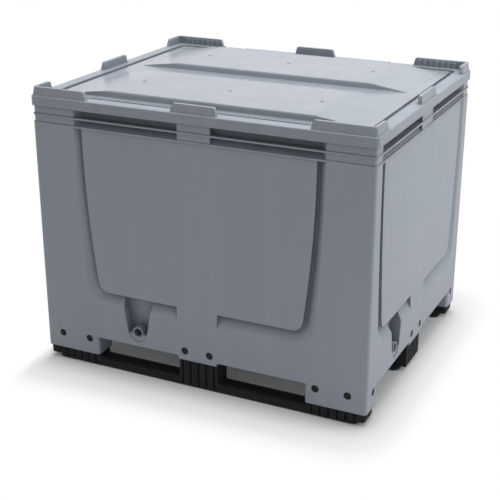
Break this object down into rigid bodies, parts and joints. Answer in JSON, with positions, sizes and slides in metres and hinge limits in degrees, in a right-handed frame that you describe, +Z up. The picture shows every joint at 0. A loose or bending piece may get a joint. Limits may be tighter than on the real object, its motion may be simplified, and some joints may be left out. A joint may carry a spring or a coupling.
{
  "type": "plastic bulk container",
  "caption": "Rigid plastic pallet container with shield-panelled walls, drain outlets, a lift-off lid with stacking lugs and dark push-in runners for forks from all sides.",
  "frame": {"origin": "on the ground, in the middle of the footprint", "axes": "+Z up, +X along the long side and the runners, front wall towards -Y"},
  "size_m": [1.208, 1.008, 0.98],
  "materials": {
    "tub_grey": "fine moulded grain, satin grey polyethylene",
    "lid_grey": "fine moulded grain, satin grey polyethylene",
    "runner_black": "dull black recycled plastic, scuffed soles",
    "pin_black": "smooth black plastic",
    "plug_black": "smooth black plastic",
    "seal_rubber": "soft black rubber"
  },
  "bodies": {
    "tub": {"tub": "tub_grey", "runner_front": "runner_black", "runner_centre": "runner_black", "runner_rear": "runner_black", "pins_front_left": "pin_black", "pins_front_middle": "pin_black", "pins_front_right": "pin_black", "pins_right_middle": "pin_black", "pins_rear_right": "pin_black", "pins_rear_middle": "pin_black", "pins_rear_left": "pin_black", "pins_left_middle": "pin_black"},
    "lid": {"lid": "lid_grey"},
    "drain_plug_front": {"drain_plug_front": "plug_black", "drain_seal_front": "seal_rubber"},
    "drain_plug_right": {"drain_plug_right": "plug_black", "drain_seal_right": "seal_rubber"},
    "drain_plug_rear": {"drain_plug_rear": "plug_black", "drain_seal_rear": "seal_rubber"},
    "drain_plug_left": {"drain_plug_left": "plug_black", "drain_seal_left": "seal_rubber"}
  },
  "joints": [
    {"name": "lid_lift", "type": "slide", "parent": "tub", "child": "lid", "axis": [0, 0, 1], "range_m": [0, 0.35]},
    {"name": "drain_plug_front_pull", "type": "slide", "parent": "tub", "child": "drain_plug_front", "axis": [0, -1, 0], "range_m": [0, 0.06]},
    {"name": "drain_plug_right_pull", "type": "slide", "parent": "tub", "child": "drain_plug_right", "axis": [1, 0, 0], "range_m": [0, 0.06]},
    {"name": "drain_plug_rear_pull", "type": "slide", "parent": "tub", "child": "drain_plug_rear", "axis": [0, 1, 0], "range_m": [0, 0.06]},
    {"name": "drain_plug_left_pull", "type": "slide", "parent": "tub", "child": "drain_plug_left", "axis": [-1, 0, 0], "range_m": [0, 0.06]}
  ]
}
